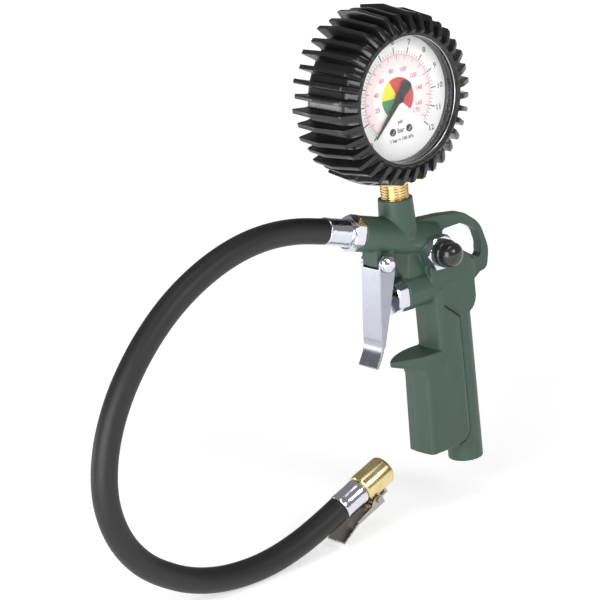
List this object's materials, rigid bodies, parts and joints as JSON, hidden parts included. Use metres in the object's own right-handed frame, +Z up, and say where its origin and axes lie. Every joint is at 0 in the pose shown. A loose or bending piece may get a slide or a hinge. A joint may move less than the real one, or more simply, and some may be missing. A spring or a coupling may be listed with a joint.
{
  "type": "tyre inflator with gauge",
  "caption": "Pistol-grip tyre inflator with a booted dial gauge on top, trigger lever, push-button bleed valve, short rubber hose and clip-on chuck.",
  "frame": {"origin": "centre of the air inlet boss's lower face", "axes": "+Z up the grip and along the gauge stem, -X towards the hose, -Y the gauge's face"},
  "size_m": [0.236, 0.0413, 0.2418],
  "materials": {
    "cast_body": "satin dark green paint on a zinc-aluminium casting",
    "brass": "machined brass",
    "tube_bronze": "bronze tube",
    "black_plastic": "glossy black plastic",
    "clear_plastic": "clear polycarbonate",
    "dial_white": "white printed aluminium",
    "pointer_black": "matt black",
    "boot_rubber": "semi-gloss black rubber",
    "hose_rubber": "satin black rubber",
    "seal_rubber": "black nitrile rubber",
    "chrome": "bright nickel plating",
    "zinc_steel": "zinc-plated pressed steel",
    "steel": "bright steel"
  },
  "bodies": {
    "gun": {"body": "cast_body", "gauge_stem": "brass", "chuck_body": "brass", "movement_back_plate": "brass", "movement_front_plate": "brass", "movement_pillars": "brass", "valve_seat": "brass", "depressor": "brass", "bourdon_tube": "tube_bronze", "stem_seal": "tube_bronze", "gauge_case": "black_plastic", "window_ring": "black_plastic", "bleed_guide": "black_plastic", "gauge_window": "clear_plastic", "dial": "dial_white", "dial_screws": "pointer_black", "rubber_boot": "boot_rubber", "hose": "hose_rubber", "chuck_seal": "seal_rubber", "gland_oring": "seal_rubber", "hose_nipple": "chrome", "gun_ferrule": "chrome", "chuck_ferrule": "chrome", "gland_nut": "chrome", "bleed_nut": "chrome", "lever_pin": "steel", "pin_ring": "steel", "clip_pin": "steel", "clip_spring": "steel", "valve_spring": "steel", "bleed_spring": "steel", "hairspring": "steel"},
    "lever": {"trigger_lever": "zinc_steel"},
    "valve": {"plunger": "steel", "valve_disc": "brass", "valve_seal": "seal_rubber"},
    "bleed": {"bleed_button": "black_plastic", "bleed_stem": "steel", "bleed_seal": "seal_rubber"},
    "clip": {"clip_lever": "zinc_steel"},
    "sector": {"sector_gear": "brass"},
    "pointer_arbor": {"pointer": "pointer_black", "pinion": "brass"},
    "tube_tip": {"bourdon_tip": "brass"},
    "gauge_link": {"link": "steel"}
  },
  "joints": [
    {"name": "lever_squeeze", "type": "hinge", "parent": "gun", "child": "lever", "pos_m": [-0.042, 0, 0.107], "axis": [0, -1, 0], "range_deg": [0, 10], "stiffness_Nm_per_rad": 0.8},
    {"name": "valve_slide", "type": "slide", "parent": "gun", "child": "valve", "axis": [1, 0, 0], "range_m": [0, 0.0034], "deforming": ["valve_spring"]},
    {"name": "bleed_press", "type": "slide", "parent": "gun", "child": "bleed", "axis": [0, 1, 0], "range_m": [0, 0.0025], "stiffness_N_per_m": 900, "deforming": ["bleed_spring"]},
    {"name": "clip_press", "type": "hinge", "parent": "gun", "child": "clip", "pos_m": [-0.06032, 0, -0.00153], "axis": [0, 1, 0], "range_deg": [0, 7], "stiffness_Nm_per_rad": 0.3, "deforming": ["clip_spring"]},
    {"name": "sector_turn", "type": "hinge", "parent": "gun", "child": "sector", "pos_m": [-0.0352, 0, 0.16913], "axis": [0, 1, 0], "range_deg": [-33.75, 0], "stiffness_Nm_per_rad": 0.02},
    {"name": "pointer_turn", "type": "hinge", "parent": "gun", "child": "pointer_arbor", "pos_m": [-0.028, 0, 0.1816], "axis": [0, 1, 0], "range_deg": [0, 270.5], "deforming": ["hairspring"]},
    {"name": "tube_tip_slide", "type": "slide", "parent": "gun", "child": "tube_tip", "axis": [0.9101, 0, 0.4143], "range_m": [0, 0.00295], "deforming": ["bourdon_tube"]},
    {"name": "link_turn", "type": "hinge", "parent": "sector", "child": "gauge_link", "pos_m": [-0.03454, 0, 0.16417], "axis": [0, 1, 0], "range_deg": [0, 33.8]}
  ],
  "couplings": [
    {"joint": "valve_slide", "follows": "lever_squeeze", "m_per_rad": 0.0185},
    {"joint": "pointer_turn", "follows": "sector_turn", "ratio": -8},
    {"joint": "tube_tip_slide", "follows": "sector_turn", "m_per_rad": -0.004928},
    {"joint": "link_turn", "follows": "sector_turn", "ratio": -1}
  ]
}
